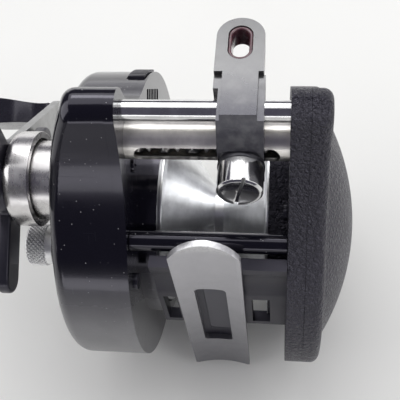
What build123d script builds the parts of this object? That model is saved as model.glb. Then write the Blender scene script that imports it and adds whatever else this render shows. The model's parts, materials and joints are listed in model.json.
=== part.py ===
from build123d import *
import math
import os

# Baitcasting reel, millimetres.  X runs along the spool (handle side is -X),
# the line leaves towards -Y, +Z is up.  The origin is the middle of the spool.

# ---- frame plates ----------------------------------------------------------
FRAME_HALF = 14.7        # spool centre to the inner face of each side plate
HANDLE_PLATE_T = 1.8
PALM_PLATE_T = 3.4
HANDLE_PLATE_R = 31.4    # round part of the handle-side plate
PALM_PLATE_R = 30.0
PALM_PLATE_Y = 0.9       # the palm side's round part sits a little low and back
PALM_PLATE_Z = -1.4
NOSE_Y = -43.0           # front lobe that carries the level wind
NOSE_Z = -4.9
NOSE_R = 4.2
NOSE_UNDER_R = 48.0      # hollow blends from the lobe into the round part
NOSE_TOP_R = 20.0
RING_OUT_R = 22.0        # collars around the spool's rims
RING_LENGTH = 3.8
RUN = 0.05               # running clearance on radius
GAP = 0.3                # air between parts that move past each other

# ---- covers ----------------------------------------------------------------
HANDLE_COVER_DEPTH = 13.3
HANDLE_COVER_WALL = 1.5
HANDLE_COVER_EDGE = 2.8
NOSE_TAPER_Y = -22.0     # from here forward the cover's outer face rounds away
NOSE_TAPER_R = 54.0
PALM_COVER_DEPTH = 3.6
PALM_COVER_WALL = 1.6
PALM_COVER_EDGE = 1.8
DOME_R = 25.0            # foot circle and height of the palm dome
DOME_RISE = 7.0

# ---- spool -----------------------------------------------------------------
SPOOL_R = 19.5
SPOOL_HALF = 11.2
RIM_T = 0.8
ARBOR_R = 6.2
SPOOL_WALL = 1.3         # thickness of the vee, measured along X
HUB_R = 4.0
HUB_HALF = 12.4
SHAFT_R = 2.0
BEARING_R = 5.0
BEARING_W = 3.5

# ---- gears -----------------------------------------------------------------
DRIVE_MODULE = 0.4
DRIVE_TEETH = 70
PINION_TEETH = 15
WIND_MODULE = 0.5
WIND_TEETH = 30
IDLER_TEETH = 15
WORM_TEETH = 14
BRAKE_TEETH = 10
MAGNET_TEETH = 32
PRESSURE_ANGLE = math.radians(20)
BACKLASH = 0.12          # share of the module taken off each tooth
DRIVE_ANGLE = math.radians(187.8)   # where the drive shaft lies around the spool
BRAKE_ANGLE = math.radians(257.8)   # where the brake knob lies around the spool
DRIVE_SHAFT_R = 2.5
GEAR_T = 1.6
WIND_GEAR_T = 1.4

# ---- level wind ------------------------------------------------------------
WORM_Y = -34.8
WORM_Z = -4.75
TUBE_R = 3.6
TUBE_WALL = 0.6
TUBE_SLOT = 3.5
TUBE_SLOT_HALF = 13.0
WORM_R = 2.4
WORM_HALF = 13.4
JOURNAL_R = 1.0
BAR_Y = -42.6
BAR_Z = -4.3
BAR_R = 1.9
GUIDE_X = 6.3            # where the line guide stands at rest
FINGER_X = -0.6          # the finger leans a little off the block's middle
GUIDE_W = 8.0
FINGER_W = 8.6
FINGER_T = 4.4
FINGER_TOP = 14.5
EYE_Z = 8.7
EYE_W = 4.4
EYE_H = 7.8
NECK_TOP = 2.0           # below this the finger's front stands on a wider back
NECK_W = 6.2
EYE_WALL = 0.65
CAP_R = 4.05
CAP_END = -15.9
PAWL_R = 1.5

# ---- base and foot ---------------------------------------------------------
BAR_LOW_Y = -21.3        # front pillar between the plates
BAR_LOW_Z = -18.4
BAR_LOW_R = 1.95
BAR_REAR_Y = 24.0
BAR_REAR_Z = -8.0
BASE_TOP = -21.0
BASE_BOTTOM = -23.4
BASE_REAR_Y = 6.0        # wide part of the base ends here
TONGUE_Y = 20.4          # and a tongue goes on under the foot
FOOT_SEAT = -24.6
FOOT_W = 13.0
FOOT_HALF = 30.2
FOOT_T = 1.2
FOOT_ARCH_R = 21.6
FOOT_LAND = 0.7          # flat land along each long edge
WINDOW_W = 6.2
WINDOW_Y0 = -12.2
WINDOW_Y1 = 15.2
PAD_W = 4.8
PAD_L = 21.0

# ---- handle side, outside the cover ----------------------------------------
HOUSING_R = 8.0
HOUSING_LENGTH = 7.7
SLEEVE_R = 9.9
SLEEVE_WALL = 1.4
STAR_R = 24.0
STAR_ARMS = 3
STAR_ANGLE = math.radians(-62)
STAR_T = 2.6
STAR_ARM_W = 6.4
HANDLE_REACH = 42.5
HANDLE_ANGLE = math.radians(56)
HANDLE_T = 2.0
KNOB_LENGTH = 25.0
KNOB_WIDTH = 15.0
KNOB_THICK = 6.4
BRAKE_KNOB_R = 4.6
BRAKE_KNOB_LENGTH = 4.4
BRAKE_COLLAR_LENGTH = 1.8

# ---- release button --------------------------------------------------------
BUTTON_ANGLE = math.radians(138)
BUTTON_W = 3.5
BUTTON_L = 11.0          # along the rim
BUTTON_X1 = -15.4        # it straddles the seam between plate and cover
BUTTON_ROOT_R = 27.0
BUTTON_TRAVEL = 2.0

# ---- places along X that follow from the values above ------------------------------------------
PLATE_OUT = -FRAME_HALF - HANDLE_PLATE_T
COVER_OUT = PLATE_OUT - HANDLE_COVER_DEPTH
COVER_IN = COVER_OUT + HANDLE_COVER_WALL
PALM_OUT = FRAME_HALF + PALM_PLATE_T
RIM_OUT = PALM_OUT + PALM_COVER_DEPTH
RING_IN_R = SPOOL_R + 0.4
DRIVE_DISTANCE = DRIVE_MODULE * (DRIVE_TEETH + PINION_TEETH) / 2
DRIVE_Y = DRIVE_DISTANCE * math.cos(DRIVE_ANGLE)
DRIVE_Z = DRIVE_DISTANCE * math.sin(DRIVE_ANGLE)
BRAKE_DISTANCE = WIND_MODULE * (BRAKE_TEETH + MAGNET_TEETH) / 2
KNOB_Y = BRAKE_DISTANCE * math.cos(BRAKE_ANGLE)
KNOB_Z = BRAKE_DISTANCE * math.sin(BRAKE_ANGLE)
WIND_X0 = PLATE_OUT - 1.0 - WIND_GEAR_T
RATCHET_X0 = WIND_X0 - 2.4
GEAR_X0 = RATCHET_X0 - 0.1 - GEAR_T
PINION_X1 = GEAR_X0 + GEAR_T + 1.3
BEARING_X0 = PLATE_OUT - 2.4
HOUSING_OUT = COVER_OUT - HOUSING_LENGTH
SLEEVE_IN = HOUSING_OUT + 1.4
SLEEVE_OUT = HOUSING_OUT - 4.15
STAR_OUT = SLEEVE_OUT - STAR_T
ARM_OUT = STAR_OUT - 0.8 - HANDLE_T
KNOB_BASE = COVER_OUT - 5.2


# ---- helpers ---------------------------------------------------------------
def rod(y, z, radius, x0, x1):
    """Solid cylinder along X."""
    length = abs(x1 - x0)
    return Pos((x0 + x1) / 2, y, z) * Rot(0, 90, 0) * Cylinder(radius, length)


def pipe(y, z, outer, inner, x0, x1):
    """Hollow cylinder along X."""
    return rod(y, z, outer, x0, x1) - rod(y, z, inner, x0 - 1, x1 + 1)


def block(x0, x1, y0, y1, z0, z1):
    """Box from its two corners."""
    middle = Pos((x0 + x1) / 2, (y0 + y1) / 2, (z0 + z1) / 2)
    return middle * Box(x1 - x0, y1 - y0, z1 - z0)


def slab(sketch, x0, x1):
    """Sketch drawn in (Y, Z), pushed along X from x0 to x1."""
    return extrude(Plane.YZ.offset(x0) * sketch, amount=x1 - x0, dir=(1, 0, 0))


def polar(radius, angle, y=0.0, z=0.0):
    return (y + radius * math.cos(angle), z + radius * math.sin(angle))


def blend_centre(a, ra, b, rb, blend, side):
    """Centre of a hollow arc that touches circles a and b from outside."""
    away = Vector(b[0] - a[0], b[1] - a[1])
    span = away.length
    along = ((ra + blend) ** 2 - (rb + blend) ** 2 + span ** 2) / (2 * span)
    across = math.sqrt((ra + blend) ** 2 - along ** 2)
    unit = away / span
    normal = Vector(-unit.Y, unit.X)
    if normal.Y * side < 0:
        normal = normal * -1
    return (a[0] + unit.X * along + normal.X * across, a[1] + unit.Y * along + normal.Y * across)


def towards(a, b, distance):
    """Point at a distance from a, on the way to b."""
    way = Vector(b[0] - a[0], b[1] - a[1]).normalized()
    return (a[0] + way.X * distance, a[1] + way.Y * distance)


def plate_outline(cy, cz, radius, grow=0.0):
    """Round plate with the level-wind lobe in front, grown or shrunk evenly."""
    body = (cy, cz)
    nose = (NOSE_Y, NOSE_Z)
    r_body = radius + grow
    r_nose = NOSE_R + grow
    r_low = NOSE_UNDER_R - grow
    r_top = NOSE_TOP_R - grow
    low = blend_centre(body, r_body, nose, r_nose, r_low, -1)
    top = blend_centre(body, r_body, nose, r_nose, r_top, 1)
    body_low = towards(body, low, r_body)
    body_top = towards(body, top, r_body)
    nose_low = towards(nose, low, r_nose)
    nose_top = towards(nose, top, r_nose)
    low_mid = towards(low, towards(body_low, nose_low, math.dist(body_low, nose_low) / 2), r_low)
    top_mid = towards(top, towards(body_top, nose_top, math.dist(body_top, nose_top) / 2), r_top)
    rear = (cy + r_body, cz)
    front = towards(nose, towards(body, nose, math.dist(body, nose) + r_nose), r_nose)
    edges = [ThreePointArc(body_top, rear, body_low), ThreePointArc(body_low, low_mid, nose_low)]
    edges += [ThreePointArc(nose_low, front, nose_top), ThreePointArc(nose_top, top_mid, body_top)]
    return make_face(Wire(edges))


def screw_spots(cy, cz, radius, angles):
    """Screw places just inside the rim of a side plate."""
    return [polar(radius - 4.6, math.radians(angle), cy, cz) for angle in angles]


def gear_sketch(teeth, module, phase):
    """Involute gear outline about its own centre; the first tooth points at phase."""
    pitch = teeth * module / 2
    base = pitch * math.cos(PRESSURE_ANGLE)
    root = pitch - 1.25 * module
    tip = pitch + 0.85 * module
    start = max(base, root)
    half_tooth = math.pi / (2 * teeth) - BACKLASH * module / (2 * pitch)
    flank = []
    for step in range(4):
        reach = start + (tip - start) * step / 3
        roll = math.acos(min(1.0, base / reach))
        spread = math.tan(PRESSURE_ANGLE) - PRESSURE_ANGLE - math.tan(roll) + roll
        flank.append((reach, half_tooth + spread))
    corner = (root, flank[0][1])
    side = [corner] + flank if root < base else flank
    points = []
    for tooth in range(teeth):
        middle = phase + 2 * math.pi * tooth / teeth
        points += [polar(reach, middle - turn) for reach, turn in side]
        points += [polar(reach, middle + turn) for reach, turn in reversed(side)]
    return make_face(Polyline(*points, close=True))


def gear(y, z, teeth, module, phase, x0, x1, bore):
    """Toothed wheel along X with a plain bore."""
    wheel = slab(Pos(y, z) * gear_sketch(teeth, module, phase), x0, x1)
    return wheel - rod(y, z, bore, x0 - 1, x1 + 1)


def mating_phase(teeth, phase, mate_teeth, direction):
    """Phase that puts a mating gear's gap on this gear's tooth; direction points at the mate."""
    pitch_angle = 2 * math.pi / teeth
    miss = (phase - direction) % pitch_angle
    return direction + math.pi - miss * teeth / mate_teeth + math.pi / mate_teeth


def idler_place():
    """Where the idler meets both the drive shaft's wind gear and the worm gear."""
    near = WIND_MODULE * (WIND_TEETH + IDLER_TEETH) / 2
    far = WIND_MODULE * (IDLER_TEETH + WORM_TEETH) / 2
    away = Vector(WORM_Y - DRIVE_Y, WORM_Z - DRIVE_Z)
    span = away.length
    along = (near ** 2 - far ** 2 + span ** 2) / (2 * span)
    across = math.sqrt(max(0.0, near ** 2 - along ** 2))
    unit = away / span
    return (DRIVE_Y + unit.X * along - unit.Y * across, DRIVE_Z + unit.Y * along + unit.X * across)


def bearing(x0):
    """Shielded ball bearing as one ring with sunk shields."""
    x1 = x0 + BEARING_W
    ring = pipe(0, 0, BEARING_R - 0.02, SHAFT_R + 0.02, x0, x1)
    ring -= pipe(0, 0, BEARING_R - 0.9, SHAFT_R + 0.9, x0 - 1, x0 + 0.25)
    return ring - pipe(0, 0, BEARING_R - 0.9, SHAFT_R + 0.9, x1 - 0.25, x1 + 1)


IDLER_Y, IDLER_Z = idler_place()
HANDLE_SCREWS = screw_spots(0, 0, HANDLE_PLATE_R, (240, 350, 100))
PALM_SCREWS = screw_spots(PALM_PLATE_Y, PALM_PLATE_Z, PALM_PLATE_R, (205, 335, 90))
POST_SPOTS = [polar(9.4, math.radians(80)), polar(9.6, math.radians(-62))]
DOG_Y, DOG_Z = polar(12.6, math.radians(110), DRIVE_Y, DRIVE_Z)


# ---- frame -----------------------------------------------------------------
def button_place(radius):
    """Plane across the release button: local X is along the reel, Z points outwards."""
    y, z = polar(radius, BUTTON_ANGLE)
    middle = BUTTON_X1 - BUTTON_W / 2
    return Plane(origin=(middle, y, z), x_dir=(1, 0, 0), z_dir=(0, y, z))


def button_hole():
    """Notch in the rim with room for the button's travel."""
    sag = BUTTON_ROOT_R - math.sqrt(BUTTON_ROOT_R**2 - (BUTTON_L / 2) ** 2)
    deep = HANDLE_PLATE_R - BUTTON_ROOT_R + sag + BUTTON_TRAVEL + GAP
    hole = Pos(0, 0, 5 - deep / 2) * Box(BUTTON_W + 0.6, BUTTON_L + 0.6, deep + 10)
    return button_place(HANDLE_PLATE_R) * hole


def handle_side_plate():
    plate = slab(plate_outline(0, 0, HANDLE_PLATE_R), PLATE_OUT, -FRAME_HALF)
    plate += pipe(0, 0, RING_OUT_R, RING_IN_R, -FRAME_HALF, -FRAME_HALF + RING_LENGTH)
    plate += rod(0, 0, BEARING_R + 1.2, BEARING_X0, PLATE_OUT)
    plate += rod(0, 0, 5.4, -FRAME_HALF, -FRAME_HALF + 1.4)
    plate -= rod(0, 0, BEARING_R, BEARING_X0 - 1, BEARING_X0 + BEARING_W + 0.1)
    plate -= rod(0, 0, 3.2, BEARING_X0, 0)
    plate -= rod(DRIVE_Y, DRIVE_Z, DRIVE_SHAFT_R + 0.9, PLATE_OUT - 1, -FRAME_HALF + 1)
    plate -= rod(KNOB_Y, KNOB_Z, 1.2 + RUN, PLATE_OUT - 1, -FRAME_HALF + 1)
    plate -= rod(WORM_Y, WORM_Z, TUBE_R + 0.03, PLATE_OUT - 1, -FRAME_HALF + 1)
    plate -= rod(BAR_Y, BAR_Z, BAR_R + 0.03, PLATE_OUT - 1, -FRAME_HALF + 1)
    plate += rod(IDLER_Y, IDLER_Z, 1.0, WIND_X0 - 0.2, PLATE_OUT)
    plate += rod(IDLER_Y, IDLER_Z, 1.5, -FRAME_HALF, -FRAME_HALF + 0.35)
    for tilt in (30, 120):
        cross = Pos(-FRAME_HALF + 0.35, IDLER_Y, IDLER_Z) * Rot(tilt, 0, 0) * Box(0.4, 0.45, 2.2)
        plate -= cross
    plate += rod(DOG_Y, DOG_Z, 0.9, RATCHET_X0 - 0.02, PLATE_OUT)
    for y, z in HANDLE_SCREWS:
        plate -= rod(y, z, 1.05, PLATE_OUT - 1, -FRAME_HALF + 1)
    for y, z in POST_SPOTS:
        plate -= rod(y, z, 0.9, PLATE_OUT - 1, -FRAME_HALF - 0.6)
    slot = Pos(-20.3, 17.4) * Rot(0, 0, 40) * RectangleRounded(13.0, 2.6, 0.6)
    plate -= slab(slot, PLATE_OUT - 1, -FRAME_HALF + 1)
    plate -= button_hole()
    for rib in range(6):
        bar = Pos(-20.3, 17.4) * Rot(0, 0, 40) * Pos(-4.5 + 1.8 * rib, 0) * Rectangle(0.5, 2.7)
        plate += slab(bar, -FRAME_HALF - 0.3, -FRAME_HALF)
    return plate


def palm_side_plate():
    plate = slab(plate_outline(PALM_PLATE_Y, PALM_PLATE_Z, PALM_PLATE_R), FRAME_HALF, PALM_OUT)
    plate += rod(0, 0, RING_OUT_R, FRAME_HALF - RING_LENGTH, FRAME_HALF)
    plate -= rod(0, 0, RING_IN_R, 0, PALM_OUT + 1)
    plate -= rod(WORM_Y, WORM_Z, TUBE_R + 0.03, 0, FRAME_HALF + 1.8)
    plate -= rod(BAR_Y, BAR_Z, BAR_R + 0.03, 0, FRAME_HALF + 1.8)
    for y, z in PALM_SCREWS:
        plate -= rod(y, z, 1.05, 0, PALM_OUT + 1)
    return plate


def pillar(y, z):
    """Cross bar between the side plates."""
    return rod(y, z, BAR_LOW_R, -FRAME_HALF, FRAME_HALF)


def base_plate():
    left = -FRAME_HALF + RING_LENGTH
    base = block(left, FRAME_HALF, -20.4, BASE_REAR_Y, BASE_BOTTOM, BASE_TOP)
    base += block(-FOOT_W / 2 + FOOT_LAND, FOOT_W / 2 - FOOT_LAND, 0, TONGUE_Y, BASE_BOTTOM, BASE_TOP)
    base -= rod(0, 0, RING_OUT_R + 0.02, FRAME_HALF - RING_LENGTH - 0.1, FRAME_HALF + 1)
    arch_z = foot_arch_centre()
    arch = Rot(90, 0, 0) * Cylinder(FOOT_ARCH_R + FOOT_T + 0.02, 80)
    base -= Pos(0, 0, arch_z) * arch
    scoop_r = 14.0
    base -= rod(-13.6, BASE_BOTTOM - scoop_r + 0.9, scoop_r, -FRAME_HALF - 1, FRAME_HALF + 1)
    for x0, x1 in ((-9.9, -7.2), (7.9, 11.5)):
        base -= block(x0, x1, -6.8, BASE_REAR_Y - 1.5, BASE_BOTTOM - 1, BASE_TOP + 1)
    base -= rod(BAR_LOW_Y, BAR_LOW_Z, BAR_LOW_R + 0.02, -20, 20)
    base -= pad_block(0.02, 1.22)
    for y in foot_screw_rows():
        base -= Pos(0, y, BASE_BOTTOM) * Cylinder(1.25, 8)
        base -= Pos(0, y, BASE_TOP - 0.35) * Cylinder(2.1, 0.9)
    return base


def foot_screw_rows():
    return (WINDOW_Y0 - 3.6, WINDOW_Y1 + 2.6)


def foot_arch_centre():
    edge = FOOT_W / 2 - FOOT_LAND
    return FOOT_SEAT - math.sqrt(FOOT_ARCH_R ** 2 - edge ** 2)


def reel_foot():
    half = FOOT_W / 2
    tip_bulge = 4.0
    straight = FOOT_HALF - tip_bulge
    front = ThreePointArc((-half, -straight), (0, -FOOT_HALF), (half, -straight))
    sides = Polyline((half, -straight), (half, FOOT_HALF), (-half, FOOT_HALF), (-half, -straight))
    plan = make_face(Wire([front] + sides.edges()))
    foot = extrude(Plane.XY.offset(FOOT_SEAT) * plan, amount=6)
    centre = Pos(0, 0, foot_arch_centre())
    foot &= centre * Rot(90, 0, 0) * Cylinder(FOOT_ARCH_R + FOOT_T, 90)
    foot -= centre * Rot(90, 0, 0) * Cylinder(FOOT_ARCH_R, 90)
    middle = (WINDOW_Y0 + WINDOW_Y1) / 2
    window = RectangleRounded(WINDOW_W, WINDOW_Y1 - WINDOW_Y0, 1.0)
    foot -= extrude(Plane.XY.offset(FOOT_SEAT - 1) * (Pos(0, middle) * window), amount=8)
    for y in foot_screw_rows():
        foot -= Pos(0, y, FOOT_SEAT + 2.6) * Cylinder(1.05, 3.0)
    return foot


def pad_block(grow, depth):
    """Rounded block let into the underside of the base, behind the foot's window."""
    middle = (WINDOW_Y0 + WINDOW_Y1) / 2
    plan = RectangleRounded(PAD_W + 2 * grow, PAD_L + 2 * grow, 1.0 + grow)
    top = foot_arch_centre() + FOOT_ARCH_R + FOOT_T + depth
    return extrude(Plane.XY.offset(top) * (Pos(0.8, middle - 0.8) * plan), amount=-3)


def seat_pad():
    """Inlay in the base, seen through the foot's window, flush with the foot's top."""
    arch = Rot(90, 0, 0) * Cylinder(FOOT_ARCH_R + FOOT_T + 0.05, 80)
    return pad_block(0, 1.2) - Pos(0, 0, foot_arch_centre()) * arch


def foot_screws():
    """Countersunk screws from the base down into the foot."""
    screws = []
    for y in foot_screw_rows():
        shank = Pos(0, y, (BASE_TOP + FOOT_SEAT + 1.2) / 2) * Cylinder(1.0, BASE_TOP - FOOT_SEAT - 1.2)
        head = Pos(0, y, BASE_TOP - 0.35) * Cylinder(2.0, 0.7)
        slot = Pos(0, y, BASE_TOP) * Box(5, 0.5, 0.6)
        screws.append(shank + head - slot)
    return Compound(screws)


def plate_screws():
    """Pan-head screws that hold each cover to its side plate."""
    screws = []
    sides = ((-1, -FRAME_HALF, PLATE_OUT - 4.5, HANDLE_SCREWS),)
    sides += ((1, FRAME_HALF, PALM_OUT + 1.8, PALM_SCREWS),)
    for side, face, end, places in sides:
        for y, z in places:
            screw = rod(y, z, 1.6, face, face - side * 0.9)
            screw += rod(y, z, 1.0, face, end)
            top = face - side * 0.9
            screw -= Pos(top, y, z) * Rot(35, 0, 0) * Box(0.8, 0.5, 5)
            screws.append(screw)
    return Compound(screws)


# ---- covers ----------------------------------------------------------------
def tapered_space(face, radius):
    """Room behind a flat outer face that rounds away from NOSE_TAPER_Y forward."""
    barrel = Pos(COVER_OUT + NOSE_TAPER_R, NOSE_TAPER_Y, 0) * Cylinder(radius, 200)
    barrel &= block(-200, 200, -200, NOSE_TAPER_Y, -200, 200)
    return barrel + block(face, 60, NOSE_TAPER_Y, 200, -100, 100)


def is_crease(edge):
    """The straight line where the outer face starts to round away."""
    ends = [vertex.Y for vertex in edge.vertices()]
    return all(abs(y - NOSE_TAPER_Y) < 0.01 for y in ends)


def handle_side_cover():
    shell = slab(plate_outline(0, 0, HANDLE_PLATE_R), COVER_OUT, PLATE_OUT)
    shell &= tapered_space(COVER_OUT, NOSE_TAPER_R)
    rim = [edge for edge in shell.edges() if edge.center().X < -24 and edge.length > 5]
    rim = [edge for edge in rim if not is_crease(edge)]
    shell = fillet(rim, HANDLE_COVER_EDGE)
    hollow = slab(plate_outline(0, 0, HANDLE_PLATE_R, -HANDLE_COVER_WALL), COVER_IN, PLATE_OUT + 1)
    shell -= hollow & tapered_space(COVER_IN, NOSE_TAPER_R - HANDLE_COVER_WALL)
    shell += rod(KNOB_Y, KNOB_Z, 6.0, KNOB_BASE, COVER_IN)
    for y, z in HANDLE_SCREWS:
        shell += rod(y, z, 2.3, COVER_IN - 0.5, PLATE_OUT)
    for y, z in POST_SPOTS:
        shell -= rod(y, z, 0.9, COVER_IN - 0.5, COVER_IN + 1)
    for y, z in HANDLE_SCREWS:
        shell -= rod(y, z, 1.03, PLATE_OUT - 5.0, PLATE_OUT + 1)
    shell -= rod(KNOB_Y, KNOB_Z, 1.2 + RUN, KNOB_BASE - 1, COVER_IN + 1)
    shell -= rod(DRIVE_Y, DRIVE_Z, 4.4, COVER_OUT - 1, COVER_IN + 1)
    return shell - button_hole()


def dome_sphere(inset):
    sphere_r = (DOME_R ** 2 + DOME_RISE ** 2) / (2 * DOME_RISE)
    centre_x = RIM_OUT + DOME_RISE - sphere_r
    return Pos(centre_x, PALM_PLATE_Y, PALM_PLATE_Z) * Sphere(sphere_r - inset)


def palm_side_cover():
    outline = plate_outline(PALM_PLATE_Y, PALM_PLATE_Z, PALM_PLATE_R)
    rim = slab(outline, PALM_OUT, RIM_OUT)
    outer = rim.edges().filter_by_position(Axis.X, RIM_OUT - 0.01, RIM_OUT + 0.01)
    rim = fillet(outer, PALM_COVER_EDGE)
    inner = plate_outline(PALM_PLATE_Y, PALM_PLATE_Z, PALM_PLATE_R, -PALM_COVER_WALL)
    cavity = slab(inner, PALM_OUT - 1, RIM_OUT - PALM_COVER_WALL)
    reach = rod(PALM_PLATE_Y, PALM_PLATE_Z, DOME_R, RIM_OUT - 0.5, RIM_OUT + 20)
    cover = rim + (dome_sphere(0) & reach)
    well = rod(PALM_PLATE_Y, PALM_PLATE_Z, DOME_R - 3, PALM_OUT - 1, RIM_OUT + 20)
    cover -= cavity
    cover -= dome_sphere(PALM_COVER_WALL) & well
    for y, z in PALM_SCREWS:
        cover += rod(y, z, 2.2, PALM_OUT, RIM_OUT - 1.0)
        cover -= rod(y, z, 1.03, PALM_OUT - 1, PALM_OUT + 2.0)
    return cover


def brake_plate():
    """Disc in the palm-side opening that carries the spool's bearing and the brake drum."""
    plate = rod(0, 0, RING_IN_R - 0.05, FRAME_HALF + 0.5, FRAME_HALF + 2.2)
    plate += rod(0, 0, BEARING_R + 1.4, FRAME_HALF + 2.2, FRAME_HALF + 4.4)
    plate += pipe(0, 0, 12.2, 11.3, FRAME_HALF - 4.4, FRAME_HALF + 0.5)
    plate -= rod(0, 0, BEARING_R, FRAME_HALF, FRAME_HALF + 0.5 + BEARING_W + 0.1)
    return plate - rod(0, 0, SHAFT_R + 0.5, FRAME_HALF, FRAME_HALF + 6)


# ---- spool -----------------------------------------------------------------
def revolve_x(points):
    """Turned part: (x, radius) points spun about the spool axis."""
    outline = make_face(Polyline(*points, close=True))
    return revolve(outline, Axis.X)


def spool():
    rim = SPOOL_HALF - RIM_T
    vee = rim - 0.6
    slope = (SPOOL_R - 1.3 - ARBOR_R) / (vee - 1.0)
    recess_x = 3.6
    recess_r = ARBOR_R + (recess_x - 1.0) * slope - SPOOL_WALL * slope
    dish_x = SPOOL_HALF - 0.5
    dish_r = recess_r + (dish_x - recess_x) * slope
    half = [(0, ARBOR_R), (1.0, ARBOR_R), (vee, SPOOL_R - 1.3), (rim, SPOOL_R), (SPOOL_HALF, SPOOL_R)]
    half += [(SPOOL_HALF, dish_r + 0.7), (dish_x, dish_r), (recess_x, recess_r), (recess_x, HUB_R)]
    half += [(HUB_HALF, HUB_R), (HUB_HALF, SHAFT_R + 0.01), (0, SHAFT_R + 0.01)]
    mirrored = [(-x, r) for x, r in reversed(half[1:-1])]
    return revolve_x(half + mirrored)


def spool_shaft():
    shaft = rod(0, 0, SHAFT_R - 0.02, COVER_IN + 0.5, FRAME_HALF + 5.2)
    return shaft


def brake_carrier():
    """Collar on the spool's hub with four radial pins."""
    carrier = pipe(0, 0, 6.5, HUB_R + 0.01, FRAME_HALF - 4.1, FRAME_HALF - 2.5)
    for turn in range(4):
        pin = Pos(FRAME_HALF - 3.3, 0, 8.6) * Cylinder(0.45, 4.6)
        carrier += Rot(90 * turn, 0, 0) * pin
    return carrier


def brake_blocks():
    """Four sliding friction blocks on the carrier's pins."""
    blocks = []
    for turn in range(4):
        shoe = Cylinder(1.3, 2.0) - Cylinder(0.5, 4)
        blocks.append(Rot(90 * turn, 0, 0) * Pos(FRAME_HALF - 3.3, 0, 9.0) * shoe)
    return Compound(blocks)


def pinion_gear():
    phase = mating_phase(DRIVE_TEETH, 0, PINION_TEETH, DRIVE_ANGLE - math.pi)
    x1 = PINION_X1
    x0 = x1 - 3.6
    pinion = gear(0, 0, PINION_TEETH, DRIVE_MODULE, phase, x0, x1, SHAFT_R + RUN)
    pinion += pipe(0, 0, 2.55, SHAFT_R + RUN, x0 - 0.9, x0)
    return pinion + pipe(0, 0, 3.2, SHAFT_R + RUN, x0 - 1.6, x0 - 0.9)


# ---- drive -----------------------------------------------------------------
def drive_shaft():
    shaft = rod(DRIVE_Y, DRIVE_Z, DRIVE_SHAFT_R, ARM_OUT - 3.4, -FRAME_HALF - 0.2)
    return shaft + rod(DRIVE_Y, DRIVE_Z, 3.6, RATCHET_X0 + 0.9, WIND_X0 - 0.05)


def main_gear():
    x1 = GEAR_X0 + GEAR_T
    bore = DRIVE_SHAFT_R + 0.03
    return gear(DRIVE_Y, DRIVE_Z, DRIVE_TEETH, DRIVE_MODULE, 0, GEAR_X0, x1, bore)


def level_wind_drive_gear():
    x1 = WIND_X0 + WIND_GEAR_T
    bore = DRIVE_SHAFT_R + 0.03
    return gear(DRIVE_Y, DRIVE_Z, WIND_TEETH, WIND_MODULE, 0, WIND_X0, x1, bore)


def ratchet_wheel():
    """Twelve saw teeth for the anti-reverse dog."""
    teeth = 12
    root = 6.9
    tip = 8.3
    points = []
    for tooth in range(teeth):
        start = 2 * math.pi * tooth / teeth
        points += [polar(root, start), polar(tip, start + 0.06), polar(root + 0.5, start + 0.4)]
    outline = Pos(DRIVE_Y, DRIVE_Z) * make_face(Polyline(*points, close=True))
    wheel = slab(outline, RATCHET_X0, RATCHET_X0 + 0.8)
    return wheel - rod(DRIVE_Y, DRIVE_Z, DRIVE_SHAFT_R + 0.03, -40, 0)


def anti_reverse_dog():
    """Hooked arm that drops into the ratchet."""
    x0 = RATCHET_X0 + 0.05
    x1 = RATCHET_X0 + 0.75
    arm = rod(DOG_Y, DOG_Z, 1.9, x0, x1)
    away = Vector(DRIVE_Y - DOG_Y, DRIVE_Z - DOG_Z)
    heading = math.degrees(math.atan2(away.Y, away.X)) + 38
    finger = Pos(DOG_Y, DOG_Z) * Rot(0, 0, heading) * Pos(2.6, 0) * Rectangle(3.6, 1.3)
    arm += slab(finger, x0, x1)
    return arm - rod(DOG_Y, DOG_Z, 0.9 + RUN, -40, 0)


def drag_washers():
    """Three discs stacked outside the main gear."""
    washers = []
    for level in range(3):
        x1 = GEAR_X0 - 0.02 - 0.62 * level
        washers.append(pipe(DRIVE_Y, DRIVE_Z, 9.0 - 0.3 * level, DRIVE_SHAFT_R + 0.03, x1 - 0.6, x1))
    return Compound(washers)


def drive_bush():
    return pipe(DRIVE_Y, DRIVE_Z, DRIVE_SHAFT_R + 0.88, DRIVE_SHAFT_R + RUN, PLATE_OUT - 0.6, -FRAME_HALF)


def drive_outer_bush():
    return pipe(DRIVE_Y, DRIVE_Z, 4.38, DRIVE_SHAFT_R + RUN, HOUSING_OUT + 0.4, COVER_IN)


def shaft_housing():
    """Plated tube on the cover that carries the drive shaft."""
    tube = pipe(DRIVE_Y, DRIVE_Z, HOUSING_R, 4.4, HOUSING_OUT, COVER_OUT)
    outer = tube.edges().filter_by_position(Axis.X, HOUSING_OUT - 0.01, HOUSING_OUT + 0.01)
    return chamfer(outer.sort_by(SortBy.LENGTH)[-1], 0.5)


def hub_sleeve():
    """Plated cup that turns with the star wheel and overlaps the housing."""
    cup = rod(DRIVE_Y, DRIVE_Z, SLEEVE_R, SLEEVE_OUT, SLEEVE_IN)
    outer = cup.edges().filter_by_position(Axis.X, SLEEVE_OUT - 0.01, SLEEVE_OUT + 0.01)
    cup = fillet(outer, 2.0)
    cup -= rod(DRIVE_Y, DRIVE_Z, SLEEVE_R - SLEEVE_WALL, HOUSING_OUT - 0.6, SLEEVE_IN + 1)
    return cup - rod(DRIVE_Y, DRIVE_Z, DRIVE_SHAFT_R + RUN, -60, 0)


def star_drag():
    """Star wheel with three rounded arms."""
    star = rod(0, 0, 8.2, -STAR_T, 0)
    half = STAR_ARM_W / 2
    for arm in range(STAR_ARMS):
        blade = block(-STAR_T, 0, 5.8, STAR_R - half, -half, half)
        blade += rod(STAR_R - half, 0, half, -STAR_T, 0)
        turn = math.degrees(STAR_ANGLE) + 360 * arm / STAR_ARMS
        star += Rot(turn, 0, 0) * blade
    star -= rod(0, 0, DRIVE_SHAFT_R + RUN, -9, 9)
    return Pos(SLEEVE_OUT - 0.05, DRIVE_Y, DRIVE_Z) * star


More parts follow.
